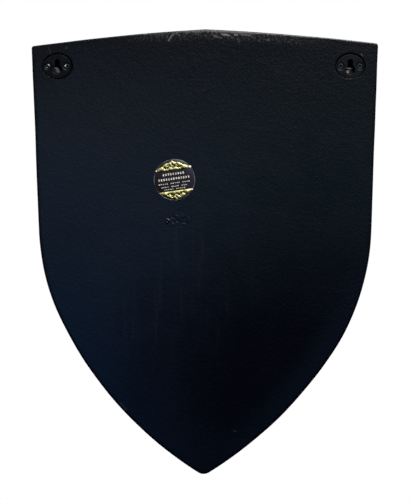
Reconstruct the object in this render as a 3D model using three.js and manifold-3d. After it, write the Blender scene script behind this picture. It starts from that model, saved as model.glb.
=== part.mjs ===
// Heater-shield wall plaque: one cast shield with a flat back, hung on two keyhole plates.
// Millimetres, +Z up. The back is the plane Y = 0 and faces +Y, and the modelled front faces -Y.
// The origin is on the back, on the upright line through the gable's apex, level with the keyholes.
// Left and right are as seen from behind, so left is +X.

import * as THREE from 'three';
import { mergeVertices } from 'three/addons/utils/BufferGeometryUtils.js';
import Module from 'manifold-3d';

const wasm = await Module();
wasm.setup();

// Outline: a low gable, two nearly straight sides, then shoulder and flank arcs down to the tip.
// It was shaped by hand, so its two sides differ a little. Angles are those of the outward normal,
// turned clockwise from +X.
const APEX_HEIGHT = 31.2;
const HALF_WIDTH = 163.8;
const TOP_ARC_RISE = 1.5;
const SIDE_END_HEIGHT = APEX_HEIGHT - 191.7;
const LEFT_SIDE = {
  cornerDrop: 16.4,
  taper: THREE.MathUtils.degToRad(2.3),
  shoulderRadius: 210,
  shoulderEnd: THREE.MathUtils.degToRad(26.05),
  flankRadius: 352,
};
const RIGHT_SIDE = {
  cornerDrop: 13.7,
  taper: THREE.MathUtils.degToRad(2.07),
  shoulderRadius: 222.5,
  shoulderEnd: THREE.MathUtils.degToRad(33.8),
  flankRadius: 380,
};
const CORNER_RADIUS = 2.5;
const TIP_RADIUS = 10;
const SMALLEST_RADIUS = 0.8;
const TIP_END = Math.PI / 2;
const STEPS = { top: 6, corner: 3, side: 4, shoulder: 8, flank: 12, tip: 3 };

// Thickness at the sides: a rounded rim, a raised border and a lower field. The whole front is
// crowned, curving evenly across its width, so the middle is thicker by CROWN.
const RIM_THICKNESS = 13;
const CROWN = 7;
const BACK_ARRIS = 1.5;
const FRONT_ARRIS = 3.5;
const BORDER_WIDTH = 19.5;
const BORDER_STEP_WIDTH = 4;
const BORDER_RISE = 3;
const STEP_SHARES = [0, 0.35, 0.65, 1];
const FIELD_CENTRE_HEIGHT = -110;
const FIELD_RINGS = 6;

// Domed studs cast into the border.
const STUD_RADIUS = 4.6;
const STUD_RISE = 2.4;
const STUD_INSET = 11;
const STUD_FOOT = 1;
const STUD_SIDES = 10;
const STUDS_ALONG_TOP = 3;
const STUDS_DOWN_SIDE = 9;

// Keyhole plates, each let into an oval recess with a pocket behind it for the wall screw's head.
// A cutter runs OVERSHOOT past the faces that it opens.
const GAP = 0.3;
const OVERSHOOT = 1;
const HANGER_CENTRES = { left: 139.4, right: -137.5 };
const PLATE_CENTRE_HEIGHT = -4.2;
const PLATE_HALF_WIDTH = 13.3;
const PLATE_HALF_HEIGHT = 11.2;
const PLATE_FACE = -0.2;
const PLATE_THICKNESS = 1.6;
const RECESS_MARGIN = 0.8;
const SLOT_RADIUS = 2.4;
const ENTRY_RADIUS = 4.4;
const ENTRY_HEIGHT = -7.3;
const POCKET_HALF_WIDTH = 5.6;
const POCKET_DEPTH = 8;

// Countersunk screws, two in each plate.
const SCREW_OFFSET = 9;
const SCREW_HEAD_RADIUS = 2.7;
const SCREW_SHANK_RADIUS = 1.2;
const SCREW_HEAD_DEPTH = 1.5;
const SCREW_LENGTH = 7.6;
const SCREW_POINT = 2;
const SCREW_SIDES = 16;
const SCREW_SUNK = 0.3;
const SINK_MOUTH_RADIUS = 3.4;
const SINK_FLOOR_RADIUS = 1.8;
const PILOT_DEPTH = 9;
const PILOT_SIDES = 8;
const CROSS_LENGTH = 3.2;
const CROSS_WIDTH = 0.8;
const CROSS_DEPTH = 1;

// Round label in a shallow bed.
const LABEL_CENTRE = new THREE.Vector2(28.7, -111.4);
const LABEL_RADIUS = 19.75;
const LABEL_FACE = -0.1;
const LABEL_THICKNESS = 0.3;
const LABEL_SIDES = 24;

const castMaterial = new THREE.MeshStandardMaterial({ color: 0x10151d, roughness: 0.5, metalness: 0 });
const plateMaterial = new THREE.MeshStandardMaterial({ color: 0x151a21, roughness: 0.5, metalness: 0.3 });
const screwMaterial = new THREE.MeshStandardMaterial({ color: 0x6d7076, roughness: 0.4, metalness: 0.9 });
const labelMaterial = new THREE.MeshStandardMaterial({ color: 0x2d2a32, roughness: 0.4, metalness: 0 });

function asSolid(geometry) {
  const bare = geometry.clone();
  bare.deleteAttribute('normal');
  bare.deleteAttribute('uv');
  const merged = mergeVertices(bare, 1e-4);
  return new wasm.Manifold(new wasm.Mesh({
    numProp: 3,
    vertProperties: new Float32Array(merged.attributes.position.array),
    triVerts: new Uint32Array(merged.index.array),
  }));
}

function asGeometry(solid) {
  const mesh = solid.getMesh();
  const geometry = new THREE.BufferGeometry();
  geometry.setAttribute('position', new THREE.BufferAttribute(mesh.vertProperties, 3));
  geometry.setIndex(new THREE.BufferAttribute(mesh.triVerts, 1));
  geometry.computeVertexNormals();
  return geometry;
}

function cutAll(solid, cutters) {
  return cutters.reduce((rest, cutter) => rest.subtract(asSolid(cutter)), solid);
}

function normalAt(angle) {
  return new THREE.Vector2(Math.cos(angle), -Math.sin(angle));
}

function onArc(centre, radius, angle) {
  return normalAt(angle).multiplyScalar(radius).add(centre);
}

// Points after the first one, so that arcs chained end to end share no point.
function arcPoints(centre, radius, start, end, steps) {
  const turn = (end - start) / steps;
  return Array.from({ length: steps }, (_, i) => onArc(centre, radius, start + turn * (i + 1)));
}

// A side's values with the foot of its straight stretch and the centres of its arcs, X positive.
function drawnSide(side) {
  const drop = APEX_HEIGHT - LEFT_SIDE.cornerDrop - SIDE_END_HEIGHT;
  const foot = new THREE.Vector2(HALF_WIDTH - drop * Math.tan(side.taper), SIDE_END_HEIGHT);
  const shoulder = onArc(foot, -side.shoulderRadius, side.taper);
  const flank = onArc(shoulder, side.shoulderRadius - side.flankRadius, side.shoulderEnd);
  return { ...side, foot, shoulder, flank };
}

const left = drawnSide(LEFT_SIDE);
const right = drawnSide(RIGHT_SIDE);

// The circle of one half of the top edge, from the apex to a corner that lies `drop` lower.
function topCircle(drop) {
  const apex = new THREE.Vector2(0, APEX_HEIGHT);
  const corner = new THREE.Vector2(HALF_WIDTH, APEX_HEIGHT - drop);
  const chord = corner.clone().sub(apex);
  const radius = (chord.lengthSq() / 4 + TOP_ARC_RISE ** 2) / (2 * TOP_ARC_RISE);
  const inward = new THREE.Vector2(chord.y, -chord.x).normalize();
  const centre = apex.add(corner).multiplyScalar(0.5).addScaledVector(inward, radius - TOP_ARC_RISE);
  return { centre, radius };
}

// Where the top circle and the side line meet once both are moved in by `inset`.
function cornerPoint(side, top, inset) {
  const up = new THREE.Vector2(Math.sin(side.taper), Math.cos(side.taper));
  const foot = onArc(side.foot, -inset, side.taper);
  const fromCentre = foot.clone().sub(top.centre);
  const along = fromCentre.dot(up);
  const reach = Math.sqrt(along ** 2 - fromCentre.lengthSq() + (top.radius - inset) ** 2);
  return foot.addScaledVector(up, reach - along);
}

// The centre of the tip's round end, which touches both flanks once they are moved in by `inset`.
function tipPoint(inset) {
  const leftReach = left.flankRadius - inset;
  const rightReach = right.flankRadius - inset;
  const across = new THREE.Vector2(-right.flank.x, right.flank.y).sub(left.flank);
  const span = across.length();
  const along = (leftReach ** 2 - rightReach ** 2 + span ** 2) / (2 * span);
  across.divideScalar(span);
  const down = new THREE.Vector2(across.y, -across.x);
  return left.flank.clone()
    .addScaledVector(across, along)
    .addScaledVector(down, Math.sqrt(leftReach ** 2 - along ** 2));
}

// One half of the outline moved in by `inset`, from beside the apex to the tip, with X positive.
function halfOutline(side, inset) {
  const top = topCircle(side.cornerDrop);
  const cornerRadius = Math.max(CORNER_RADIUS - inset, SMALLEST_RADIUS);
  const cornerCentre = cornerPoint(side, top, inset + cornerRadius);
  const fromTop = cornerCentre.clone().sub(top.centre);
  const topEnd = -Math.atan2(fromTop.y, fromTop.x);
  const topStart = -Math.acos(-top.centre.x / top.radius);
  const tipRadius = Math.max(TIP_RADIUS - inset, SMALLEST_RADIUS);
  const tipCentre = tipPoint(inset + tipRadius);
  tipCentre.x *= side === left ? 1 : -1;
  const fromFlank = tipCentre.clone().sub(side.flank);
  const flankEnd = -Math.atan2(fromFlank.y, fromFlank.x);
  const straightTop = onArc(cornerCentre, cornerRadius, side.taper);
  const straightFoot = onArc(side.foot, -inset, side.taper);
  const straight = Array.from(
    { length: STEPS.side },
    (_, i) => straightTop.clone().lerp(straightFoot, (i + 1) / STEPS.side),
  );
  const shoulderReach = side.shoulderRadius - inset;
  const flankReach = side.flankRadius - inset;
  return [
    ...arcPoints(top.centre, top.radius - inset, topStart, topEnd, STEPS.top),
    ...arcPoints(cornerCentre, cornerRadius, topEnd, side.taper, STEPS.corner),
    ...straight,
    ...arcPoints(side.shoulder, shoulderReach, side.taper, side.shoulderEnd, STEPS.shoulder),
    ...arcPoints(side.flank, flankReach, side.shoulderEnd, flankEnd, STEPS.flank),
    ...arcPoints(tipCentre, tipRadius, flankEnd, TIP_END, STEPS.tip),
  ];
}

// The whole outline, counter-clockwise as seen from behind, from the apex round by the left side.
function outline(inset) {
  const apex = new THREE.Vector2(0, APEX_HEIGHT - inset);
  const rightHalf = halfOutline(right, inset).slice(0, -1);
  const mirrored = rightHalf.map((point) => new THREE.Vector2(-point.x, point.y)).reverse();
  return [apex, ...halfOutline(left, inset), ...mirrored];
}

function crownAt(x) {
  return CROWN * (1 - (x / HALF_WIDTH) ** 2);
}

function backRing(inset, depth) {
  return outline(inset).map((point) => new THREE.Vector3(point.x, -depth, point.y));
}

function frontRing(inset, thickness) {
  const depthAt = (x) => thickness + crownAt(x);
  return outline(inset).map((point) => new THREE.Vector3(point.x, -depthAt(point.x), point.y));
}

// A closed skin through equal rings, from the back to the front, with a pole at each end.
function loft(backPole, rings, frontPole) {
  const count = rings[0].length;
  const points = [backPole, ...rings.flat(), frontPole];
  const last = points.length - 1;
  const index = [];
  const at = (ring, j) => 1 + ring * count + (j % count);
  for (let j = 0; j < count; j++) {
    index.push(0, at(0, j), at(0, j + 1));
    index.push(last, at(rings.length - 1, j + 1), at(rings.length - 1, j));
    for (let ring = 0; ring < rings.length - 1; ring++) {
      index.push(at(ring, j), at(ring + 1, j), at(ring, j + 1));
      index.push(at(ring, j + 1), at(ring + 1, j), at(ring + 1, j + 1));
    }
  }
  const geometry = new THREE.BufferGeometry().setFromPoints(points);
  geometry.setIndex(index);
  return geometry;
}

// How far in and how far along a quarter-round edge lies: `turn` runs from 0, on the wall, to 1.
function arris(radius, turn) {
  const angle = turn * Math.PI / 2;
  return [radius * (1 - Math.cos(angle)), radius * (1 - Math.sin(angle))];
}

function shrunkRing(ring, share) {
  return ring.map((point) => {
    const x = point.x * share;
    const z = THREE.MathUtils.lerp(FIELD_CENTRE_HEIGHT, point.z, share);
    return new THREE.Vector3(x, BORDER_RISE - RIM_THICKNESS - crownAt(x), z);
  });
}

function castShield() {
  const backRings = [1, 0.5, 0].map((turn) => {
    const [inset, depth] = arris(BACK_ARRIS, turn);
    return backRing(inset, depth);
  });
  const frontRings = [0, 0.5, 1].map((turn) => {
    const [inset, depth] = arris(FRONT_ARRIS, turn);
    return frontRing(inset, RIM_THICKNESS - depth);
  });
  const stepRings = STEP_SHARES.map((share) => frontRing(
    BORDER_WIDTH + BORDER_STEP_WIDTH * share,
    RIM_THICKNESS - BORDER_RISE * (1 - Math.cos(share * Math.PI)) / 2,
  ));
  const fieldRings = Array.from(
    { length: FIELD_RINGS - 1 },
    (_, i) => shrunkRing(stepRings.at(-1), 1 - (i + 1) / FIELD_RINGS),
  );
  return asSolid(loft(
    new THREE.Vector3(0, 0, FIELD_CENTRE_HEIGHT),
    [...backRings, ...frontRings, ...stepRings, ...fieldRings],
    new THREE.Vector3(0, BORDER_RISE - RIM_THICKNESS - CROWN, FIELD_CENTRE_HEIGHT),
  ));
}

// Evenly spaced places along the border, with a stud at every corner, at the apex and at the tip.
function studPlaces() {
  const places = [];
  for (const [side, sign] of [[left, 1], [right, -1]]) {
    const apex = new THREE.Vector2(0, APEX_HEIGHT - STUD_INSET);
    const half = [apex, ...halfOutline(side, STUD_INSET)];
    const corner = half.reduce((best, point, i) => (point.x > half[best].x ? i : best), 0);
    const top = new THREE.Path(half.slice(0, corner + 1)).getSpacedPoints(STUDS_ALONG_TOP);
    const flank = new THREE.Path(half.slice(corner)).getSpacedPoints(STUDS_DOWN_SIDE);
    const wanted = sign > 0 ? [...top, ...flank.slice(1)] : [...top.slice(1), ...flank.slice(1, -1)];
    places.push(...wanted.map((point) => new THREE.Vector2(sign * point.x, point.y)));
  }
  return places;
}

function studGeometry(place) {
  const ball = (STUD_RADIUS ** 2 + STUD_RISE ** 2) / (2 * STUD_RISE);
  const spread = Math.asin(STUD_RADIUS / ball);
  const cap = [1, 0.66, 0.33].map((share) => new THREE.Vector2(
    ball * Math.sin(spread * share),
    STUD_RISE - ball * (1 - Math.cos(spread * share)),
  ));
  const profile = [
    new THREE.Vector2(0, -STUD_FOOT),
    new THREE.Vector2(STUD_RADIUS, -STUD_FOOT),
    ...cap,
    new THREE.Vector2(0, STUD_RISE),
  ];
  const stud = new THREE.LatheGeometry(profile, STUD_SIDES);
  stud.rotateX(Math.PI);
  return stud.translate(place.x, -RIM_THICKNESS - crownAt(place.x), place.y);
}

// A flat outline in X and Z, made solid from depth `from` to depth `to` under the back plane.
function slab(shape, from, to, curveSegments = 16) {
  const options = { depth: to - from, bevelEnabled: false, curveSegments };
  return new THREE.ExtrudeGeometry(shape, options).rotateX(Math.PI / 2).translate(0, -from, 0);
}

function disc(x, z, radius) {
  return new THREE.Shape().absarc(x, z, radius, 0, Math.PI * 2);
}

function oval(x, z, halfWidth, halfHeight) {
  return new THREE.Shape().absellipse(x, z, halfWidth, halfHeight, 0, Math.PI * 2);
}

// A round-ended upright slot between two heights.
function slot(x, topHeight, bottomHeight, radius) {
  const shape = new THREE.Shape();
  shape.absarc(x, topHeight, radius, 0, Math.PI);
  shape.absarc(x, bottomHeight, radius, Math.PI, Math.PI * 2);
  return shape;
}

// A keyhole's edge: the round entry below, open at its top into the slot.
function keyhole(x) {
  const mouth = Math.asin(SLOT_RADIUS / ENTRY_RADIUS);
  const path = new THREE.Path();
  path.absarc(x, 0, SLOT_RADIUS, 0, Math.PI);
  path.absarc(x, ENTRY_HEIGHT, ENTRY_RADIUS, Math.PI / 2 + mouth, Math.PI * 2.5 - mouth);
  path.closePath();
  return path;
}

// A turned solid whose axis points out of the back, from [radius, depth] pairs, deepest first.
function turned(x, z, pairs) {
  const profile = pairs.map(([radius, depth]) => new THREE.Vector2(radius, -depth));
  return new THREE.LatheGeometry(profile, SCREW_SIDES).translate(x, 0, z);
}

// The oval recess, the pocket and the two screw holes that one hanger needs in the casting.
function hangerCutters(x) {
  const plateBack = PLATE_THICKNESS - PLATE_FACE;
  const halfWidth = PLATE_HALF_WIDTH + RECESS_MARGIN;
  const recess = oval(x, PLATE_CENTRE_HEIGHT, halfWidth, PLATE_HALF_HEIGHT + RECESS_MARGIN);
  const pocket = slot(x, 0, ENTRY_HEIGHT, POCKET_HALF_WIDTH);
  const pilots = [-SCREW_OFFSET, SCREW_OFFSET].map((offset) => {
    const hole = disc(x + offset, PLATE_CENTRE_HEIGHT, SCREW_SHANK_RADIUS + GAP);
    return slab(hole, plateBack - OVERSHOOT, PILOT_DEPTH, PILOT_SIDES);
  });
  return [
    slab(recess, -OVERSHOOT, plateBack + GAP),
    slab(pocket, plateBack - OVERSHOOT, POCKET_DEPTH),
    ...pilots,
  ];
}

function hangerPlate(x) {
  const shape = oval(x, PLATE_CENTRE_HEIGHT, PLATE_HALF_WIDTH, PLATE_HALF_HEIGHT);
  shape.holes.push(keyhole(x));
  const plateBack = PLATE_THICKNESS - PLATE_FACE;
  const flare = OVERSHOOT * (SINK_MOUTH_RADIUS - SINK_FLOOR_RADIUS) / PLATE_THICKNESS;
  const sinks = [-SCREW_OFFSET, SCREW_OFFSET].map((offset) => turned(x + offset, PLATE_CENTRE_HEIGHT, [
    [0, plateBack + OVERSHOOT],
    [SINK_FLOOR_RADIUS - flare, plateBack + OVERSHOOT],
    [SINK_MOUTH_RADIUS + flare, -PLATE_FACE - OVERSHOOT],
    [0, -PLATE_FACE - OVERSHOOT],
  ]));
  return asGeometry(cutAll(asSolid(slab(shape, -PLATE_FACE, plateBack)), sinks));
}

function hangerScrew(x) {
  const top = SCREW_SUNK - PLATE_FACE;
  const body = turned(x, PLATE_CENTRE_HEIGHT, [
    [0, top + SCREW_LENGTH],
    [SCREW_SHANK_RADIUS, top + SCREW_LENGTH - SCREW_POINT],
    [SCREW_SHANK_RADIUS, top + SCREW_HEAD_DEPTH],
    [SCREW_HEAD_RADIUS, top],
    [0, top],
  ]);
  const arm = new THREE.BoxGeometry(CROSS_LENGTH, 2 * CROSS_DEPTH, CROSS_WIDTH);
  const arms = [arm, arm.clone().rotateY(Math.PI / 2)];
  const cross = arms.map((cutter) => cutter.translate(x, -top, PLATE_CENTRE_HEIGHT));
  return asGeometry(cutAll(asSolid(body), cross));
}

function shieldBody() {
  const studs = studPlaces().map((place) => asSolid(studGeometry(place)));
  const shield = studs.reduce((solid, stud) => solid.add(stud), castShield());
  const labelBed = disc(LABEL_CENTRE.x, LABEL_CENTRE.y, LABEL_RADIUS + GAP);
  return asGeometry(cutAll(shield, [
    ...hangerCutters(HANGER_CENTRES.left),
    ...hangerCutters(HANGER_CENTRES.right),
    slab(labelBed, -OVERSHOOT, LABEL_THICKNESS - LABEL_FACE + GAP, LABEL_SIDES),
  ]));
}

function roundLabel() {
  const label = disc(LABEL_CENTRE.x, LABEL_CENTRE.y, LABEL_RADIUS);
  return slab(label, -LABEL_FACE, LABEL_THICKNESS - LABEL_FACE, LABEL_SIDES);
}

function named(name, geometry, material) {
  const mesh = new THREE.Mesh(geometry, material);
  mesh.name = name;
  return mesh;
}

const plaque = new THREE.Group();
plaque.add(named('shield_body', shieldBody(), castMaterial));
for (const [side, x] of Object.entries(HANGER_CENTRES)) {
  const outward = Math.sign(x) * SCREW_OFFSET;
  plaque.add(named(`hanger_plate_${side}`, hangerPlate(x), plateMaterial));
  plaque.add(named(`hanger_screw_${side}_outer`, hangerScrew(x + outward), screwMaterial));
  plaque.add(named(`hanger_screw_${side}_inner`, hangerScrew(x - outward), screwMaterial));
}
plaque.add(named('round_label', roundLabel(), labelMaterial));

export default plaque;
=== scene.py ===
import math

import bmesh
import bpy
import numpy as np
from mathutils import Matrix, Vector, kdtree, noise
from mathutils.geometry import delaunay_2d_cdt


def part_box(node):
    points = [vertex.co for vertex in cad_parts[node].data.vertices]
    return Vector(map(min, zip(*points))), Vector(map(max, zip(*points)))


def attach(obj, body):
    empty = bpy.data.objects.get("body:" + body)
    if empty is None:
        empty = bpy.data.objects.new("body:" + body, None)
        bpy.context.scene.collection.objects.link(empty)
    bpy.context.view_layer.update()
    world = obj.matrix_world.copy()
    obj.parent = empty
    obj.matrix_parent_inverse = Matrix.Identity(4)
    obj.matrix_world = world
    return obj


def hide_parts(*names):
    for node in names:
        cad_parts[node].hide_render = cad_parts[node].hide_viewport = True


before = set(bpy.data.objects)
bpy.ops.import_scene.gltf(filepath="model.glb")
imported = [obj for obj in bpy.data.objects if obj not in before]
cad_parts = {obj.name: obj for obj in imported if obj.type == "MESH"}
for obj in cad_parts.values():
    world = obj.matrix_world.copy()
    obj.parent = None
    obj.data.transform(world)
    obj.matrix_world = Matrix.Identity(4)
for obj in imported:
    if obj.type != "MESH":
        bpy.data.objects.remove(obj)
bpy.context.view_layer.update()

MM = 0.001

# ------------------------------------------------------------------------------------------------
# The shape of the casting. One piece of stone-filled resin, poured face down into a mould: a heater
# outline of arcs, a flat back with two oval wells for the hangers, a rounded rim, and on the front
# a raised border round a lower field, all curving evenly across the width.
# ------------------------------------------------------------------------------------------------
cast_low, cast_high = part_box("shield_body")
half_width = (cast_high.x - cast_low.x) / 2
apex_height = cast_high.z

TOP_ARC_RISE = 1.5 * MM
SIDE_END_DEPTH = 191.7 * MM
WIDEST_DROP = 16.4 * MM
CORNER_RADIUS = 2.5 * MM
TIP_RADIUS = 10 * MM
SMALLEST_RADIUS = 0.8 * MM
STEPS = {"top": 80, "corner": 6, "side": 84, "shoulder": 54, "flank": 92, "tip": 8}


def facing(angle):
    """Outward directions in X and Z, for angles turned clockwise from +X."""
    return np.stack([np.cos(angle), -np.sin(angle)], axis=-1)


def turns(start, end, steps):
    """Even angles from start to end, without the first, so that arcs chain end to end."""
    return start + (end - start) * np.arange(1, steps + 1) / steps


class Side:
    """One side of the outline: its corner, straight stretch, shoulder and flank, with X positive."""

    def __init__(self, corner_drop, taper, shoulder_radius, shoulder_turn, flank_radius):
        self.corner_drop = corner_drop * MM
        self.taper = math.radians(taper)
        self.shoulder_radius = shoulder_radius * MM
        self.shoulder_turn = math.radians(shoulder_turn)
        self.flank_radius = flank_radius * MM
        narrowing = (SIDE_END_DEPTH - WIDEST_DROP) * math.tan(self.taper)
        self.foot = np.array([half_width - narrowing, apex_height - SIDE_END_DEPTH])
        self.shoulder = self.foot - self.shoulder_radius * facing(self.taper)
        reach = self.shoulder_radius - self.flank_radius
        self.flank = self.shoulder + reach * facing(self.shoulder_turn)


left_side = Side(16.4, 2.3, 210, 26.05, 352)
right_side = Side(13.7, 2.07, 222.5, 33.8, 380)


def tip_centre(inset):
    """The middle of the tip's round end, which touches both flanks moved in by the inset."""
    left_reach = left_side.flank_radius - inset
    right_reach = right_side.flank_radius - inset
    across = right_side.flank * (-1, 1) - left_side.flank
    span = np.linalg.norm(across)
    along = (left_reach ** 2 - right_reach ** 2 + span ** 2) / (2 * span)
    down = np.array([across[1], -across[0]]) / span
    return left_side.flank + along * across / span + math.sqrt(left_reach ** 2 - along ** 2) * down


def half_outline(side, inset):
    """Points and outward directions from beside the apex to the tip, moved in, with X positive."""
    apex = np.array([0.0, apex_height])
    chord = np.array([half_width, -side.corner_drop])
    length = np.linalg.norm(chord)
    top_radius = (length ** 2 / 4 + TOP_ARC_RISE ** 2) / (2 * TOP_ARC_RISE)
    inward = np.array([chord[1], -chord[0]]) / length
    top_centre = apex + chord / 2 + (top_radius - TOP_ARC_RISE) * inward

    corner_round = max(CORNER_RADIUS - inset, SMALLEST_RADIUS)
    up = np.array([math.sin(side.taper), math.cos(side.taper)])
    start = side.foot - (inset + corner_round) * facing(side.taper) - top_centre
    along = start @ up
    reach = math.sqrt(along ** 2 - start @ start + (top_radius - inset - corner_round) ** 2)
    corner_centre = top_centre + start + (reach - along) * up
    top_start = -math.acos(-top_centre[0] / top_radius)
    top_end = -math.atan2(corner_centre[1] - top_centre[1], corner_centre[0] - top_centre[0])

    tip_round = max(TIP_RADIUS - inset, SMALLEST_RADIUS)
    tip = tip_centre(inset + tip_round) * (1 if side is left_side else -1, 1)
    flank_end = -math.atan2(tip[1] - side.flank[1], tip[0] - side.flank[0])

    straight_top = corner_centre + corner_round * facing(side.taper)
    straight_foot = side.foot - inset * facing(side.taper)
    shares = turns(0, 1, STEPS["side"])[:, None]
    taper, turn = side.taper, side.shoulder_turn
    arcs = [
        (top_centre, top_radius - inset, turns(top_start, top_end, STEPS["top"])),
        (corner_centre, corner_round, turns(top_end, taper, STEPS["corner"])),
        (None, None, np.full(STEPS["side"], taper)),
        (side.shoulder, side.shoulder_radius - inset, turns(taper, turn, STEPS["shoulder"])),
        (side.flank, side.flank_radius - inset, turns(turn, flank_end, STEPS["flank"])),
        (tip, tip_round, turns(flank_end, math.pi / 2, STEPS["tip"])),
    ]
    straight = straight_top + shares * (straight_foot - straight_top)
    points = [
        straight if centre is None else centre + radius * facing(angles)
        for centre, radius, angles in arcs
    ]
    return np.vstack(points), np.vstack([facing(angles) for _, _, angles in arcs])


def outline(inset):
    """The whole outline from the apex round by +X, and its outward directions."""
    left, left_out = half_outline(left_side, inset)
    right, right_out = half_outline(right_side, inset)
    flip = np.array([-1, 1])
    points = [[[0, apex_height - inset]], left, (right[:-1] * flip)[::-1]]
    outward = [[[0, 1]], left_out, (right_out[:-1] * flip)[::-1]]
    return np.vstack(points), np.vstack(outward)


def stored(mesh, name, values):
    """Keeps a number for each point of a mesh, for a material or a node tree to read."""
    layer = mesh.attributes.new(name, "FLOAT", "POINT")
    layer.data.foreach_set("value", np.asarray(values, np.float32))


def set_out(name, mesh):
    """Puts a mesh in the scene as an object of its own."""
    thing = bpy.data.objects.new(name, mesh)
    bpy.context.scene.collection.objects.link(thing)
    return thing


class Skin:
    """A closed surface being laid up from rows of points, bands between rows, and filled areas."""

    def __init__(self):
        self.points = np.zeros((0, 3))
        self.rub = np.zeros(0)
        self.faces = []

    def row(self, across, y, rub=0.0):
        """Adds points at X and Z, at the given Y, and returns their numbers."""
        first = len(self.points)
        rows = np.column_stack([across[:, 0], np.broadcast_to(y, len(across)), across[:, 1]])
        self.points = np.vstack([self.points, rows])
        self.rub = np.append(self.rub, np.full(len(rows), rub))
        return np.arange(first, len(self.points))

    def band(self, upper, lower):
        """Faces between two closed rows with as many points each."""
        near, far = np.roll(upper, -1), np.roll(lower, -1)
        self.faces += np.column_stack([upper, near, far, lower]).tolist()

    def bands(self, rows):
        for upper, lower in zip(rows, rows[1:]):
            self.band(upper, lower)

    def close(self, row, point):
        """A fan of faces from a row to one point."""
        pole = self.row(np.array([[point[0], point[2]]]), point[1])[0]
        self.faces += [[a, b, pole] for a, b in zip(row.tolist(), np.roll(row, -1).tolist())]

    def fill(self, rims, inside, y, rub=0.0):
        """Triangles within the first rim and round the others, through the points inside."""
        numbers = np.concatenate([*rims, self.row(inside, y, rub)])
        flat = self.points[numbers][:, [0, 2]]
        links, first = [], 0
        for rim in rims:
            links += [(first + i, first + (i + 1) % len(rim)) for i in range(len(rim))]
            first += len(rim)
        found = delaunay_2d_cdt([Vector(p) for p in flat], links, [], 1, 1e-9)
        source = np.array([origins[0] for origins in found[3]])
        triangles = source[np.array(found[2])]
        middles = flat[triangles].mean(axis=1)
        holes = [within(middles, self.points[rim][:, [0, 2]]) for rim in rims[1:]]
        kept = triangles[~np.any(holes, axis=0)] if holes else triangles
        self.faces += numbers[kept].tolist()

    def mesh(self, name):
        data = bpy.data.meshes.new(name)
        data.from_pydata(self.points.tolist(), [], self.faces)
        stored(data, "rub", self.rub)
        shaped = bmesh.new()
        shaped.from_mesh(data)
        bmesh.ops.recalc_face_normals(shaped, faces=shaped.faces)
        shaped.to_mesh(data)
        shaped.free()
        data.shade_smooth()
        return data


def within(points, loop):
    """Which of the points lie inside a closed loop."""
    start, end = loop, np.roll(loop, -1, axis=0)
    x, z = points[:, :1], points[:, 1:]
    crossed = (start[:, 1] > z) != (end[:, 1] > z)
    rise = np.where(np.abs(end[:, 1] - start[:, 1]) < 1e-12, 1e-12, end[:, 1] - start[:, 1])
    edge = start[:, 0] + (end[:, 0] - start[:, 0]) * (z - start[:, 1]) / rise
    return (crossed & (x < edge)).sum(axis=1) % 2 == 1


def gap_to(points, loop):
    """How far each point is from the nearest point of a loop."""
    tree = kdtree.KDTree(len(loop))
    for i, (x, z) in enumerate(loop):
        tree.insert((x, z, 0), i)
    tree.balance()
    return np.array([tree.find((x, z, 0))[2] for x, z in points])


def honeycomb(low, high, spacing):
    """Points of a staggered grid that covers a rectangle."""
    columns = np.arange(low[0], high[0], spacing)
    lines = np.arange(low[1], high[1], spacing * math.sqrt(3) / 2)
    x, z = np.meshgrid(columns, lines)
    x[1::2] += spacing / 2
    return np.column_stack([x.ravel(), z.ravel()])


def ease(value, low, high):
    """0 below low, 1 above high, and a smooth step between."""
    share = np.clip((value - low) / (high - low), 0, 1)
    return share * share * (3 - 2 * share)


def quarter_round(steps):
    """How far in and how far down the rows of a rounded edge lie, in radii, from the face outwards."""
    return [(1 - math.sin(turn), 1 - math.cos(turn)) for turn in np.linspace(0, math.pi / 2, steps)]


def drift(points, size, seed):
    """Slow noise between about -1 and 1, with swells of the given size."""
    return np.array([noise.noise(Vector((x / size, seed, z / size))) for x, z in points])


# The rim: hand-rubbed, so the outline wanders a little, and along the middle of the top edge the
# back corner is rubbed to a wider round.
EDGE_WANDER = 0.25 * MM
BACK_ROUND = 1.3 * MM
TOP_RUB = 1.2 * MM
TOP_RUB_CENTRE, TOP_RUB_REACH = -14 * MM, 60 * MM
RIM_THICKNESS, CROWN, FRONT_ROUND = 13 * MM, 7 * MM, 3.5 * MM
BORDER_WIDTH, STEP_WIDTH, BORDER_RISE = 19.5 * MM, 4 * MM, 3 * MM
FIELD_CENTRE = -110 * MM


def crown(x):
    return CROWN * (1 - (x / half_width) ** 2)


edge_line, edge_out = outline(0)
edge_line = edge_line + edge_out * EDGE_WANDER * drift(edge_line, 32 * MM, 3.5)[:, None]
top_share = ease(edge_line[:, 1], apex_height - 25 * MM, apex_height - 12 * MM)
rubbed = np.exp(-((edge_line[:, 0] - TOP_RUB_CENTRE) / TOP_RUB_REACH) ** 2) * top_share
back_round = (BACK_ROUND + TOP_RUB * rubbed)[:, None]

cast = Skin()
rim_rows = []
for inset, drop in quarter_round(7):
    rim_rows.append(cast.row(edge_line - edge_out * back_round * inset, -back_round[:, 0] * drop))
for share in (0.35, 0.7):
    thickness = (RIM_THICKNESS - FRONT_ROUND) * share + crown(edge_line[:, 0]) * share
    rim_rows.append(cast.row(edge_line, -np.maximum(thickness, back_round[:, 0] + 1 * MM)))
for turn in np.linspace(0, 1, 6) * math.pi / 2:
    across, _ = outline(FRONT_ROUND * (1 - math.cos(turn)))
    thickness = RIM_THICKNESS - FRONT_ROUND * (1 - math.sin(turn))
    rim_rows.append(cast.row(across, -thickness - crown(across[:, 0]), rub=math.sin(2 * turn)))

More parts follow.
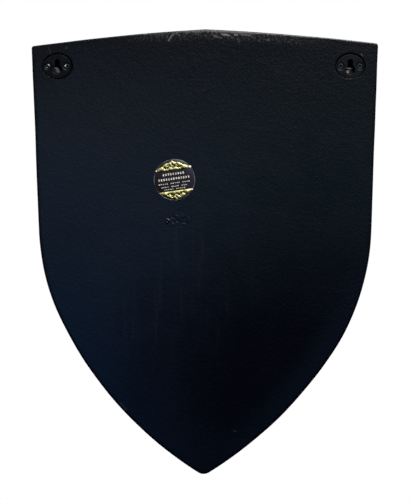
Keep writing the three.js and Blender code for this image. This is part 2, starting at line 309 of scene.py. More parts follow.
# The front's border, the step down inside it, and the field, whose rows shrink to its middle.
for inset in np.linspace(FRONT_ROUND, BORDER_WIDTH, 7)[1:-1]:
    across, _ = outline(inset)
    rim_rows.append(cast.row(across, -RIM_THICKNESS - crown(across[:, 0])))
for share in np.linspace(0, 1, 9):
    across, _ = outline(BORDER_WIDTH + STEP_WIDTH * share)
    back_of_step = BORDER_RISE * ease(share, 0, 1) - RIM_THICKNESS - crown(across[:, 0])
    rim_rows.append(cast.row(across, back_of_step, rub=max(0, 1 - 4 * share)))
field_edge = across
field_centre = np.array([0, FIELD_CENTRE])
for share in np.linspace(1, 0, 19)[1:-1]:
    across = field_centre + (field_edge - field_centre) * share
    rim_rows.append(cast.row(across, BORDER_RISE - RIM_THICKNESS - crown(across[:, 0])))
cast.bands(rim_rows)
cast.close(rim_rows[-1], (0, BORDER_RISE - RIM_THICKNESS - CROWN, FIELD_CENTRE))

# The hangers' wells: an oval let in for each plate, a little high so that the gap is widest above
# it, and a round-ended pocket behind the keyhole whose floor climbs to a lump of bare resin.
WELL_MARGIN = 0.95 * MM
WELL_SHIFTS = {"left": (-0.25 * MM, 0.2 * MM), "right": (0.0, 0.4 * MM)}
WELL_LIP = 0.12 * MM
WELL_DEPTH = 2.1 * MM
POCKET_RADIUS = 5.6 * MM
POCKET_DEPTH = 8 * MM
POCKET_FOOT = -7.3 * MM
LUMP_RISES = {"left": 5.3 * MM, "right": 3.2 * MM}
WELL_TURNS = np.arange(72) * 2 * math.pi / 72
plate_boxes = {side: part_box(f"hanger_plate_{side}") for side in ("left", "right")}
well_rims = []
for side, (plate_low, plate_high) in plate_boxes.items():
    middle = (plate_low + plate_high) / 2
    half = (plate_high - plate_low) / 2
    shift_x, shift_z = WELL_SHIFTS[side]

    def oval(grow, y):
        x = middle.x + shift_x + (half.x + WELL_MARGIN + grow) * np.cos(WELL_TURNS)
        z = middle.z + shift_z + (half.z + WELL_MARGIN + grow) * np.sin(WELL_TURNS)
        return cast.row(np.column_stack([x, z]), y)

    def pocket(scale, y):
        x = middle.x + scale * POCKET_RADIUS * np.cos(WELL_TURNS)
        foot = np.where(np.sin(WELL_TURNS) < -1e-6, POCKET_FOOT, 0)
        z = POCKET_FOOT / 2 + scale * (POCKET_RADIUS * np.sin(WELL_TURNS) + foot - POCKET_FOOT / 2)
        on_floor = y < -WELL_DEPTH - 1 * MM
        lump = LUMP_RISES[side] * ease(-z, 2.4 * MM, 5.6 * MM) * on_floor
        return cast.row(np.column_stack([x, z]), y + lump)

    well = []
    for inset, drop in quarter_round(4):
        well.append(oval(WELL_LIP * inset, -WELL_LIP * drop))
    well += [oval(0, -WELL_DEPTH * 0.7), oval(-0.3 * MM, -WELL_DEPTH)]
    well += [pocket(1.06, -WELL_DEPTH), pocket(1, -WELL_DEPTH - 0.4 * MM)]
    well += [pocket(scale, -POCKET_DEPTH) for scale in (0.999, 0.8, 0.6, 0.4, 0.2)]
    cast.bands(well)
    cast.close(well[-1], (middle.x, -POCKET_DEPTH, POCKET_FOOT / 2))
    well_rims.append(well[0])

# The back: even triangles, finer along the rubbed top edge, round the wells and over the spill.
label_low, label_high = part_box("round_label")
label_centre = np.array([(label_low.x + label_high.x) / 2, (label_low.z + label_high.z) / 2])
label_radius = (label_high.x - label_low.x) / 2
SPILL_BELOW_LABEL = 37.7 * MM
spill_centre = label_centre + np.array([-3.3 * MM, -SPILL_BELOW_LABEL])
SPILL_HALF = np.array([12.5 * MM, 6.5 * MM])
rim_loop = cast.points[rim_rows[0]][:, [0, 2]]
top_loop = rim_loop[rim_loop[:, 1] > apex_height - 17.5 * MM]
well_loops = [cast.points[rim][:, [0, 2]] for rim in well_rims]


def on_spill(points, margin=1.0):
    """How near a point is to the spill's middle, as a share of its half size."""
    return np.linalg.norm((points - spill_centre) / (SPILL_HALF * margin), axis=1)


def fine_zone(points):
    near_well = np.min([gap_to(points, loop) for loop in well_loops], axis=0) < 4 * MM
    return (gap_to(points, top_loop) < 11 * MM) | near_well


def clear_of_rims(points, gap):
    inside = within(points, rim_loop[::3]) & (gap_to(points, rim_loop) > gap)
    for loop in well_loops:
        inside &= ~within(points, loop) & (gap_to(points, loop) > gap)
    return points[inside]


sheet_low, sheet_high = (cast_low.x, cast_low.z), (cast_high.x, cast_high.z)
coarse = honeycomb(sheet_low, sheet_high, 2.5 * MM)
coarse = coarse[on_spill(coarse, 1.25) > 1]
coarse = clear_of_rims(coarse[~fine_zone(coarse)], 1.3 * MM)
fine = honeycomb(sheet_low, sheet_high, 1.25 * MM)
fine = clear_of_rims(fine[fine_zone(fine)], 0.8 * MM)
finest = honeycomb(spill_centre - 2 * SPILL_HALF, spill_centre + 2 * SPILL_HALF, 0.6 * MM)
finest = finest[on_spill(finest, 1.25) < 1]
cast.fill([rim_rows[0], *well_rims], np.vstack([coarse, fine, finest]), 0)

# The struck-off surface: slow waves, finer ripples, and a spill of paint below the label, which is
# two faint burst bubbles with lumps between them and a drop at one end. It is flat under the label.
WAVE, RIPPLE = 0.22 * MM, 0.035 * MM
SPILL_LUMPS = 0.42 * MM
BUBBLES = [  # across and up from the spill's middle, radius, height of the lip, all in millimetres
    (9.8, -1.1, 1.5, 1.3),
    (3.4, -0.4, 4.4, 0.16),
    (-6.0, -0.4, 4.4, 0.15),
    (-4.3, 2.3, 1.0, 0.4),
    (2.4, 3.4, 2.0, -0.2),
]
surface = cast.points[:, [0, 2]]
near_back = ease(cast.points[:, 1], -3 * MM, -0.5 * MM)
off_label = ease(np.linalg.norm(surface - label_centre, axis=1), label_radius, label_radius + 8 * MM)
height = WAVE * drift(surface, 85 * MM, 1.5) + RIPPLE * drift(surface, 17 * MM, 7.5)
spilt = 1 - ease(on_spill(surface), 0.75, 1.15)
lumps = SPILL_LUMPS * (drift(surface, 2.6 * MM, 4.5) + 0.5 * drift(surface, 1.3 * MM, 9.5))
for across, up, radius, lip in BUBBLES:
    centre = spill_centre + np.array([across, up]) * MM
    away = np.linalg.norm(surface - centre, axis=1) / (radius * MM)
    lumps += lip * MM * (np.exp(-((away - 0.95) / 0.25) ** 2) - 0.5 * np.exp(-(away / 0.6) ** 2))
cast.points[:, 1] += near_back * off_label * (height + spilt * lumps)

casting = set_out("casting", cast.mesh("casting"))


# ------------------------------------------------------------------------------------------------
# The casting's finish: satin blue-black paint sprayed over pale resin, faintly mottled and
# pebbled, rubbed to a warm grey along the top edge and scuffed there. Overspray missed the bottom of
# each hanger pocket, and the front's raised edges are rubbed to a dull pewter grey. On the back the
# colour also holds painted light and shade: a tone drift across it, darkened arrises and well lips,
# a highlight along the lower right flank and one on the lower-left arris, and shade in one pocket.
# ------------------------------------------------------------------------------------------------
class Signal:
    """What comes out of a node. Arithmetic on it adds Math nodes; `vector` work has its own names."""

    def __init__(self, finish, socket):
        self.finish = finish
        self.socket = socket

    def maths(self, operation, *values, clamp=False):
        settings = {"operation": operation, "use_clamp": clamp}
        return self.finish.node("ShaderNodeMath", settings, dict(enumerate(values)))

    def __add__(self, other):
        return self.maths("ADD", self, other)

    def __sub__(self, other):
        return self.maths("SUBTRACT", self, other)

    def __rsub__(self, other):
        return self.maths("SUBTRACT", other, self)

    def __mul__(self, other):
        return self.maths("MULTIPLY", self, other)

    __radd__ = __add__
    __rmul__ = __mul__

    def larger(self, other):
        return self.maths("MAXIMUM", self, other)

    def limited(self):
        return self.maths("ADD", self, 0, clamp=True)

    def ease(self, low, high):
        """0 at low, 1 at high and a smooth step between; low may be the larger."""
        settings = {"interpolation_type": "SMOOTHSTEP"}
        sockets = {"Value": self, "From Min": low, "From Max": high}
        return self.finish.node("ShaderNodeMapRange", settings, sockets)

    def vector(self, operation, *values, output=0):
        sockets = dict(enumerate([self, *values]))
        return self.finish.node("ShaderNodeVectorMath", {"operation": operation}, sockets, output)


class Finish:
    """A material in the making: `node` adds any node, with its settings first and then its sockets."""

    def __init__(self, name):
        self.material = bpy.data.materials.new(name)
        self.material.use_nodes = True
        self.tree = self.material.node_tree
        self.tree.nodes.clear()
        self.place = self.node("ShaderNodeTexCoord", {}, {}, "Object")

    def node(self, kind, settings, sockets, output=0):
        made = self.tree.nodes.new(kind)
        for name, value in settings.items():
            setattr(made, name, value)
        for name, value in sockets.items():
            if isinstance(value, Signal):
                self.tree.links.new(value.socket, made.inputs[name])
            else:
                made.inputs[name].default_value = value
        return Signal(self, made.outputs[output]) if made.outputs else None

    def stored(self, name):
        """The number kept on the mesh under a name."""
        return self.node("ShaderNodeAttribute", {"attribute_name": name}, {}, "Fac")

    def part(self, axis):
        """One coordinate of the place on the surface, in metres."""
        return self.node("ShaderNodeSeparateXYZ", {}, {0: self.place}, axis)

    def grain(self, size, detail=2.0, rough=0.5, stretch=(1, 1, 1), seed=0.0):
        """Noise from 0 to 1 whose patches are about `size` metres, longer along a stretched axis."""
        scale = [1 / (size * s) for s in stretch]
        place = self.place.vector("MULTIPLY", scale).vector("ADD", (seed, seed * 2, seed * 3))
        sockets = {"Vector": place, "Scale": 1.0, "Detail": detail, "Roughness": rough}
        return self.node("ShaderNodeTexNoise", {}, sockets)

    def blend(self, share, under, over):
        """One colour over another, by a share from 0 to 1."""
        sockets = {"Factor": share, 6: under, 7: over}
        return self.node("ShaderNodeMix", {"data_type": "RGBA", "clamp_factor": True}, sockets, 2)

    def wavering(self, size, reach):
        """The place on the back, pushed about by noise, so that marks read from it have ragged edges."""
        scale = 1 / size
        place = self.place.vector("MULTIPLY", (scale, 0, scale))
        sockets = {"Vector": place, "Scale": 1.0, "Detail": 2.0}
        noisy = self.node("ShaderNodeTexNoise", {}, sockets, "Color")
        push = noisy.vector("SUBTRACT", (0.5, 0.5, 0.5)).vector("MULTIPLY", (2 * reach, 0, 2 * reach))
        return self.place.vector("MULTIPLY", (1, 0, 1)).vector("ADD", push)

    def streak(self, place, x, z, run, rise, width):
        """1 along a line from a point, in millimetres across the back, fading out at its width."""
        start = (x * MM, 0, z * MM)
        along = (run * MM, 0, rise * MM)
        away = place.vector("SUBTRACT", start)
        share = away.vector("DOT_PRODUCT", along, output="Value") * (1 / Vector(along).length_squared)
        sockets = {0: along, "Scale": share.limited()}
        nearest = self.node("ShaderNodeVectorMath", {"operation": "SCALE"}, sockets)
        gap = away.vector("SUBTRACT", nearest).vector("LENGTH", output="Value")
        return gap.ease(width * MM, width * 0.35 * MM)

    def spot(self, x, z, width, tall, core=0.35):
        """1 within the core of an oval on the back, fading out at its edge; sizes in millimetres."""
        away = self.place.vector("SUBTRACT", (x * MM, 0, z * MM))
        share = away.vector("MULTIPLY", (1 / (width * MM), 0, 1 / (tall * MM)))
        return share.vector("LENGTH", output="Value").ease(1, core)

    def bump(self, height, strength, distance, under=None):
        sockets = {"Height": height, "Strength": strength, "Distance": distance}
        if under is not None:
            sockets["Normal"] = under
        return self.node("ShaderNodeBump", {}, sockets)

    def close(self, **sockets):
        """Ends in a Principled shader; sockets are its inputs with spaces written as underscores."""
        named = {name.replace("_", " "): value for name, value in sockets.items()}
        shader = self.node("ShaderNodeBsdfPrincipled", {}, named)
        self.node("ShaderNodeOutputMaterial", {}, {"Surface": shader})
        return self.material


MID_BLACK = (0.0016, 0.0049, 0.0078, 1)
# The next five colours carry painted light and shade on the back; the blackest is also plain paint on the
# plates and in the worn strip.
PAINTED_LIGHT_BLUE = (0.0081, 0.0118, 0.0188, 1)
PAINTED_LIGHT_LOW_BLUE = (0.0001, 0.0090, 0.0328, 1)
BLACKEST_PAINT_AND_SHADE = (0.0003, 0.0004, 0.0016, 1)
PAINTED_SHADE_LOW_BLACK = (0.0001, 0.0006, 0.0038, 1)
FLANK_HIGHLIGHT_BLUE = (0.0007, 0.0032, 0.0093, 1)
DUSTY = (0.055, 0.06, 0.058, 1)
RUBBED_GREY = (0.025, 0.024, 0.021, 1)
PALE_SCUFF_AND_HIGHLIGHT = (0.15, 0.146, 0.14, 1)
BARE_RESIN = (0.15, 0.138, 0.13, 1)
SHADED_RESIN = (0.115, 0.102, 0.098, 1)
DARK_BROWN = (0.045, 0.026, 0.016, 1)
DULL_PEWTER = (0.20, 0.21, 0.22, 1)

TOP_SCUFFS = [  # x, z, run, rise, width, strength: rubbed lines along the top edge, in millimetres
    (33.9, 20.1, -1.6, 3.1, 1.2, 0.50),
    (32.3, 23.2, -2.2, 2.8, 1.3, 0.55),
    (30.1, 26.0, -3.8, 1.0, 1.1, 0.35),
    (35.8, 25.2, -1.0, -2.9, 0.9, 0.25),
    (57.6, 26.1, -2.8, 0.4, 1.1, 0.35),
    (51.9, 25.9, -15.2, 0.4, 0.9, 0.14),
    (27.3, 26.1, -3.8, -0.6, 1.1, 0.20),
    (18.7, 27.5, -2.8, 0.0, 1.1, 0.25),
    (10.2, 27.7, -4.3, -0.2, 1.1, 0.30),
    (-8.8, 24.7, -6.6, -1.9, 1.4, 0.35),
    (-16.3, 26.3, -6.7, -1.3, 1.2, 1.00),
    (-28.9, 25.7, -1.6, -0.1, 1.4, 0.95),
    (-33.4, 26.1, -9.5, -1.2, 1.2, 0.40),
    (-25.2, 23.4, -1.2, -0.5, 1.2, 0.22),
    (-31.6, 21.6, -0.9, -3.2, 1.2, 0.22),
    (-60.0, 21.4, -0.6, -0.4, 1.6, 0.35),
    (147.7, 13.9, -2.8, -7.4, 0.9, 0.12),
    (130.8, 13.6, 0.3, -0.8, 1.0, 0.20),
]
BACK_MARKS_AND_HIGHLIGHT = [  # the same for faint marks lower down
    (-147.8, 7.4, -1.0, -1.2, 1.0, 0.20),
    (-27.7, -348.4, -1.2, -0.4, 1.0, 0.15),
    # This one, on the lower-left arris, is a painted highlight.
    (79.6, -322.0, -6.0, -7.0, 0.9, 0.16),
    (-163.0, -71.0, 0.3, -12.0, 0.8, 0.20),
]

paint = Finish("satin_black_paint")
along_x, along_y, along_z = (paint.part(axis) for axis in "XYZ")
on_back = along_y.ease(-3.2 * MM, -1.6 * MM)
cloud = paint.grain(60 * MM, detail=3, rough=0.55, seed=3.1)
blotch = paint.grain(16 * MM, detail=3, seed=8.4)
mottle = paint.grain(2.2 * MM, detail=4, rough=0.65)

# The base colour drifts from blue-black on one side to near black at the top and low on the other:
# partly the coat's own uneven spray and partly painted light and shade, standing in for how light
# falls across the back.
sway = (cloud - 0.5) * 90 * MM + (blotch - 0.5) * 30 * MM
painted_light_left = (along_x + sway).ease(-122 * MM, 161 * MM)
painted_shade_top = (along_z + sway).ease(-121 * MM, 92 * MM)
to_foot = along_z.ease(26 * MM, -498 * MM)
# A painted highlight lifts the colour along the lower right flank, near its edge.
flank_centre = (-right_side.flank[0], 0, right_side.flank[1])
from_flank = paint.place.vector("MULTIPLY", (1, 0, 1)).vector("SUBTRACT", flank_centre)
flank_gap = right_side.flank_radius - from_flank.vector("LENGTH", output="Value")
painted_flank_highlight = flank_gap.ease(30 * MM, 6 * MM) * along_z.ease(-170 * MM, -230 * MM)
painted_flank_highlight = painted_flank_highlight * along_x.ease(25 * MM, 5 * MM)
colour = paint.blend(painted_light_left, MID_BLACK, PAINTED_LIGHT_BLUE)
colour = paint.blend(painted_light_left * to_foot, colour, PAINTED_LIGHT_LOW_BLUE)
# A wide patch low on the other side goes near black: painted shade.
colour = paint.blend(paint.spot(-87, -300, 236, 193, core=0.2), colour, PAINTED_SHADE_LOW_BLACK)
colour = paint.blend(painted_shade_top, colour, BLACKEST_PAINT_AND_SHADE)
colour = paint.blend(painted_flank_highlight, colour, FLANK_HIGHLIGHT_BLUE)
colour = paint.blend((mottle - 0.5) * 0.07, colour, DUSTY)
runs = paint.grain(9 * MM, detail=2, stretch=(0.6, 1, 7), seed=5.2).ease(0.54, 0.74)
run_zone = paint.spot(34, -215, 95, 120)
colour = paint.blend(runs * run_zone * on_back * 0.045, colour, DUSTY)

# Along the arrises and round the wells' lips the colour is darkened, painted shade, except where the top
# one is rubbed.
colour = paint.blend(paint.stored("rim_shade") * 0.85, colour, BLACKEST_PAINT_AND_SHADE)
top_wear = paint.stored("top_wear")
wear_grain = paint.grain(1.4 * MM, detail=4, rough=0.75, stretch=(1.8, 1, 1), seed=1.7)
worn = (top_wear * 1.05 + (wear_grain - 0.5) * 1.1).ease(0.50, 1.25)
colour = paint.blend((0.5 - wear_grain) * top_wear * 3, colour, BLACKEST_PAINT_AND_SHADE)
colour = paint.blend(worn, colour, RUBBED_GREY)
fleck_grain = paint.grain(1.2 * MM, detail=3, rough=0.65, stretch=(1.7, 1, 1), seed=2.9)
flecks = (fleck_grain + top_wear * 0.10).ease(0.52, 0.67) * top_wear.ease(0.0, 0.3)
colour = paint.blend(top_wear.ease(0.0, 0.35) * 0.02, colour, DUSTY)

# The scuffs are short pale lines with ragged edges, broken up by a finer grain; the line on the lower-left
# arris is a painted highlight, not a scuff.
ragged = paint.wavering(1.3 * MM, 0.9 * MM)
fine_break = paint.grain(0.9 * MM, detail=3, rough=0.7, seed=6.3).ease(0.38, 0.60)
scuffs_and_highlight = flecks * 0.27
for x, z, run, rise, width, strength in TOP_SCUFFS + BACK_MARKS_AND_HIGHLIGHT:
    scuffs_and_highlight = scuffs_and_highlight.larger(paint.streak(ragged, x, z, run, rise, width) * strength)
scuffs_and_highlight = (scuffs_and_highlight * (0.2 + fine_break * 0.95)) * on_back
colour = paint.blend(scuffs_and_highlight, colour, PALE_SCUFF_AND_HIGHLIGHT)

# The spray left bare resin on the pockets' floors, with a darker brown patch beside it. In one pocket
# the bare resin takes a dimmer colour: painted shade from the keyhole's edge.
pocket_depth = along_y.ease(-1.5 * MM, -1.9 * MM) * along_y.ease(-10 * MM, -9 * MM)
resin_edge = paint.grain(2.0 * MM, detail=2, seed=4.4) * 0.5
bare = paint.spot(-135.3, -8.9, 2.4, 2.0)
shaded_bare = paint.spot(137.5, -7.6, 3.7, 2.8)
brown_patch = paint.spot(137.6, -8.4, 5.4, 3.8).larger(paint.spot(-138.2, -8.0, 3.4, 3.2))
colour = paint.blend((brown_patch * 1.6 - resin_edge).limited() * pocket_depth * 0.45, colour, DARK_BROWN)
colour = paint.blend((bare * 1.5 - resin_edge).limited() * pocket_depth, colour, BARE_RESIN)
# The dimmer resin here is painted shade.
colour = paint.blend((shaded_bare * 1.9 - resin_edge * 0.6).limited() * pocket_depth, colour, SHADED_RESIN)

# The front's raised edges and its studs are rubbed through to a dull pewter.
rub_grain = paint.grain(5 * MM, detail=3, rough=0.7, seed=9.1)
pewter = (paint.stored("rub") * (0.35 + rub_grain)).ease(0.45, 1.05)
colour = paint.blend(pewter * 0.6, colour, DULL_PEWTER)

roughness = 0.37 + (cloud - 0.5) * 0.08 + (blotch - 0.5) * 0.06 + (mottle - 0.5) * 0.16
roughness = (roughness + worn * 0.2 + scuffs_and_highlight * 0.2 - pewter * 0.08).limited()
dimples = paint.grain(4.0 * MM, detail=2, seed=5.9)
pebbles = paint.grain(1.6 * MM, detail=3, rough=0.55, seed=7.7)
surface_normal = paint.bump(blotch, 0.35, 0.5 * MM)
surface_normal = paint.bump(dimples, 0.45, 0.42 * MM, surface_normal)
surface_normal = paint.bump(pebbles, 0.65, 0.4 * MM, surface_normal)
satin_black = paint.close(
    Base_Color=colour,
    Roughness=roughness,
    Metallic=pewter * 0.5,
    Specular_IOR_Level=0.205,
    Normal=surface_normal,
)

# How near each point is to an arris and to a well, for the painted shade there, and to the rubbed middle
# of the top one.
TOP_WEAR_REACH = 44 * MM
FLECKED_CENTRE, FLECKED_REACH = -20 * MM, 84 * MM
to_edge = gap_to(surface, edge_line)
to_wells = np.min([gap_to(surface, loop) for loop in well_loops], axis=0)
shade = 1 - ease(to_edge, 0.4 * MM, 3.2 * MM) * ease(to_wells, 0.1 * MM, 1.2 * MM)
stored(casting.data, "rim_shade", shade)
to_top_edge = gap_to(surface, edge_line[edge_line[:, 1] > apex_height - 17 * MM])
across = surface[:, 0]
rubbed_most = np.exp(-((across - TOP_RUB_CENTRE) / TOP_WEAR_REACH) ** 4)
flecked_most = np.exp(-((across - FLECKED_CENTRE) / FLECKED_REACH) ** 4)
wear = rubbed_most * (1 - ease(to_top_edge, 1.5 * MM, 6 * MM))
wear = np.maximum(wear, 0.42 * flecked_most * (1 - ease(to_top_edge, 3 * MM, 13 * MM)))
stored(casting.data, "top_wear", wear)
casting.data.materials.append(satin_black)


# ------------------------------------------------------------------------------------------------
# The border's studs: low domes cast in one with the shield, in imitation of nails, evenly spaced
# along the middle of the border with one at each corner, at the apex and at the tip.
# ------------------------------------------------------------------------------------------------
STUD_INSET = 11 * MM
STUD_SPACING = 52 * MM
STUD_RADIUS = 4.6 * MM
STUD_RISE = 2.4 * MM
STUD_RUB = 0.75

stud_line, _ = outline(STUD_INSET)
stud_tip = len(half_outline(left_side, STUD_INSET)[0])
stud_corners = [0, STEPS["top"] + STEPS["corner"] // 2, stud_tip]
stud_corners.append(len(stud_line) - stud_corners[1])
stud_path = bpy.data.meshes.new("stud_path")
path_points = [(x, -RIM_THICKNESS - crown(x), z) for x, z in stud_line.tolist()]
path_links = [(i, (i + 1) % len(path_points)) for i in range(len(path_points))]
# Each corner starts a stretch of its own, so that a stud falls on it.
for stretch, corner in enumerate(stud_corners):
    path_points.append(path_points[corner])
    path_links[corner - 1] = (path_links[corner - 1][0], len(path_points) - 1)
stud_path.from_pydata(path_points, path_links, [])
path_object = set_out("stud_path", stud_path)


class Recipe:
    """A Geometry Nodes tree in the making, with named inputs and one geometry output."""

    def __init__(self, name):
        self.tree = bpy.data.node_groups.new(name, "GeometryNodeTree")
        self.tree.interface.new_socket("Geometry", in_out="INPUT", socket_type="NodeSocketGeometry")
        self.tree.interface.new_socket("Geometry", in_out="OUTPUT", socket_type="NodeSocketGeometry")
        self.start = self.tree.nodes.new("NodeGroupInput")
        self.values = {}

    def input(self, name, kind, value):
        """A named input of the tree and the value that its modifier gets."""
        socket = self.tree.interface.new_socket(name, in_out="INPUT", socket_type=f"NodeSocket{kind}")
        self.values[socket.identifier] = value
        return self.start.outputs[name]

    def node(self, kind, sockets, output=0, **settings):
        made = self.tree.nodes.new(kind)
        for name, value in settings.items():
            setattr(made, name, value)
        for name, value in sockets.items():
            for item in value if isinstance(value, list) else [value]:
                if isinstance(item, bpy.types.NodeSocket):
                    self.tree.links.new(item, made.inputs[name])
                else:
                    made.inputs[name].default_value = item
        return made.outputs[output]

    def geometry_of(self, name, thing):
        """What a named object input brings with it."""
        source = self.input(name, "Object", thing)
        return self.node("GeometryNodeObjectInfo", {"Object": source}, "Geometry")

    def set_on(self, points, item, material, **sockets):
        """Copies of an item on the points, made real and given their material."""
        placing = {"Points": points, "Instance": item, **sockets}
        copies = self.node("GeometryNodeInstanceOnPoints", placing)
        copies = self.node("GeometryNodeRealizeInstances", {"Geometry": copies})
        return self.node("GeometryNodeSetMaterial", {"Geometry": copies, "Material": material})

    def made_from(self, thing, geometry, name):
        """Runs the tree on an object and gives the result as a plain mesh."""
        end = self.tree.nodes.new("NodeGroupOutput")
        self.tree.links.new(geometry, end.inputs[0])
        modifier = thing.modifiers.new(self.tree.name, "NODES")
        modifier.node_group = self.tree
        for identifier, value in self.values.items():
            modifier[identifier] = value
        graph = bpy.context.evaluated_depsgraph_get()
        result = bpy.data.meshes.new_from_object(thing.evaluated_get(graph), depsgraph=graph)
        thing.modifiers.remove(modifier)
        result.name = name
        return result


studding = Recipe("border_studs")
line = studding.geometry_of("Path", path_object)
spacing = studding.input("Spacing", "Float", STUD_SPACING)
dome_radius = studding.input("Stud radius", "Float", STUD_RADIUS)
dome_rise = studding.input("Stud rise", "Float", STUD_RISE)
paint_input = studding.input("Paint", "Material", satin_black)
seed = studding.input("Seed", "Int", 11)
line = studding.node("GeometryNodeMeshToCurve", {"Mesh": line})
line = studding.node("GeometryNodeResampleCurve", {"Curve": line, "Length": spacing}, mode="LENGTH")
places = studding.node("GeometryNodeCurveToPoints", {"Curve": line}, mode="EVALUATED")
places = studding.node("GeometryNodeMergeByDistance", {"Geometry": places, "Distance": 2 * MM})
ball = studding.node("GeometryNodeMeshUVSphere", {"Segments": 28, "Rings": 14, "Radius": 1.0})
ball = studding.node("GeometryNodeSetShadeSmooth", {"Geometry": ball})
size = studding.node("ShaderNodeCombineXYZ", {"X": dome_radius, "Y": dome_radius, "Z": dome_rise})
ball = studding.node("GeometryNodeTransform", {"Geometry": ball, "Scale": size})
front = studding.start.outputs["Geometry"]
normal = studding.node("GeometryNodeInputNormal", {})
sampled = studding.node(
    "GeometryNodeSampleNearestSurface", {"Mesh": front, "Value": normal}, data_type="FLOAT_VECTOR",
)
lie = studding.node("FunctionNodeAlignEulerToVector", {"Vector": sampled}, axis="Z")
varied = studding.node("FunctionNodeRandomValue", {2: 0.94, 3: 1.05, "Seed": seed}, 1, data_type="FLOAT")
studs = studding.set_on(places, ball, paint_input, Rotation=lie, Scale=varied)
studs = studding.node(
    "GeometryNodeStoreNamedAttribute", {"Geometry": studs, "Name": "rub", "Value": STUD_RUB},
    data_type="FLOAT", domain="POINT",
)
whole = studding.node("GeometryNodeJoinGeometry", {"Geometry": [front, studs]})
casting.data = studding.made_from(casting, whole, "casting")
bpy.data.objects.remove(path_object)
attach(casting, "root")
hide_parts("shield_body")


# ------------------------------------------------------------------------------------------------
# The hanger plates: ovals of pressed steel with a keyhole, rounded edges and two countersunk
# holes, let into the back and sprayed with it. The keyhole's entry is chipped and a little rusty.
# ------------------------------------------------------------------------------------------------
PLATE_ROUND = 0.14 * MM
KEYHOLE_ROUND = 0.22 * MM
SLOT_RADIUS = 2.4 * MM
ENTRY_RADIUS = 4.4 * MM
ENTRY_HEIGHT = -7.3 * MM
SINK_OFFSET = 9 * MM
SINK_MOUTH = 3.45 * MM
SINK_FLOOR = 1.8 * MM
PLATE_TURNS = np.arange(96) * 2 * math.pi / 96

steel_paint = Finish("painted_steel")
plate_grain = steel_paint.grain(2.4 * MM, detail=3, rough=0.6, seed=2.2)
plate_cloud = steel_paint.grain(9 * MM, detail=2, seed=6.1)
chipped = (steel_paint.stored("rub") * (0.3 + plate_grain)).ease(0.62, 0.95)
low_edge = steel_paint.part("Z").ease(-7 * MM, -10.5 * MM)
plate_colour = steel_paint.blend(plate_cloud * 0.5, BLACKEST_PAINT_AND_SHADE, MID_BLACK)
plate_colour = steel_paint.blend((plate_grain - 0.5) * 0.06, plate_colour, DUSTY)
plate_colour = steel_paint.blend(chipped * low_edge, plate_colour, DARK_BROWN)
plate_colour = steel_paint.blend(chipped * (1 - low_edge) * 0.5, plate_colour, RUBBED_GREY)
plate_normal = steel_paint.bump(steel_paint.grain(1.2 * MM, seed=3.3), 0.25, 0.15 * MM)
painted_steel = steel_paint.close(
    Base_Color=plate_colour,
    Roughness=(0.46 + (plate_cloud - 0.5) * 0.2 + chipped * 0.2).limited(),
    Metallic=chipped * 0.6,
    Specular_IOR_Level=0.16,
    Normal=plate_normal,
)


def keyhole_line(centre_x, grow):
    """The keyhole's edge: a half circle over the slot, then the round entry below it."""
    slot, entry = SLOT_RADIUS + grow, ENTRY_RADIUS + grow
    mouth = math.asin(slot / entry)
    over = np.linspace(0, math.pi, 15)
    under = np.linspace(math.pi / 2 + mouth, math.pi * 2.5 - mouth, 38)
    top = np.column_stack([slot * np.cos(over), slot * np.sin(over)])
    sides = np.column_stack([np.full(4, -slot), np.linspace(-0.8 * MM, -2.6 * MM, 4)])
    round_part = np.column_stack([entry * np.cos(under), ENTRY_HEIGHT + entry * np.sin(under)])
    loop = np.vstack([top, sides, round_part, sides[::-1] * (-1, 1)])
    return loop + (centre_x, 0)


def circle(centre, radius, steps=40):
    angles = np.arange(steps) * 2 * math.pi / steps
    return centre + radius * np.column_stack([np.cos(angles), np.sin(angles)])


for side, (plate_low, plate_high) in plate_boxes.items():
    middle = (plate_low + plate_high) / 2
    half = (plate_high - plate_low) / 2
    plate_centre = np.array([middle.x, middle.z])
    face, back = plate_high.y, plate_low.y
    plate = Skin()

    def rounded(shape, radius, rub):
        """Rows from the face over a rounded edge and down to the plate's back."""
        rows = [
            plate.row(shape(radius * inset), face - radius * drop, rub)
            for inset, drop in quarter_round(4)
        ]
        rows.append(plate.row(shape(0), back))
        plate.bands(rows)
        return rows[0], rows[-1]

    def plate_edge(back_off):
        reach = np.array([half.x, half.z]) - back_off
        return plate_centre + reach * np.column_stack([np.cos(PLATE_TURNS), np.sin(PLATE_TURNS)])

    edge_rows = rounded(plate_edge, PLATE_ROUND, 0.0)
    hole_rows = [rounded(lambda grow: keyhole_line(middle.x, grow), KEYHOLE_ROUND, 0.6)]
    for offset in (-SINK_OFFSET, SINK_OFFSET):
        sink_centre = plate_centre + (offset, 0)
        rows = [
            plate.row(circle(sink_centre, SINK_MOUTH + 0.1 * MM), face),
            plate.row(circle(sink_centre, SINK_MOUTH), face - 0.05 * MM),
            plate.row(circle(sink_centre, SINK_FLOOR), back),
        ]
        plate.bands(rows)
        hole_rows.append((rows[0], rows[-1]))
    grid = honeycomb(plate_low.xz, plate_high.xz, 0.9 * MM)
    grid = grid[within(grid, plate_edge(PLATE_ROUND * 2.5))]
    for row, _ in hole_rows:
        hole = plate.points[row][:, [0, 2]]
        grid = grid[~within(grid, hole) & (gap_to(grid, hole) > 0.4 * MM)]
    plate.fill([edge_rows[0], *[row for row, _ in hole_rows]], grid, face)
    plate.fill([edge_rows[1], *[row for _, row in hole_rows]], np.zeros((0, 2)), back)

    hanger = set_out(f"keyhole_plate_{side}", plate.mesh(f"keyhole_plate_{side}"))
    hanger.data.materials.append(painted_steel)
    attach(hanger, "root")
    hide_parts(f"hanger_plate_{side}")


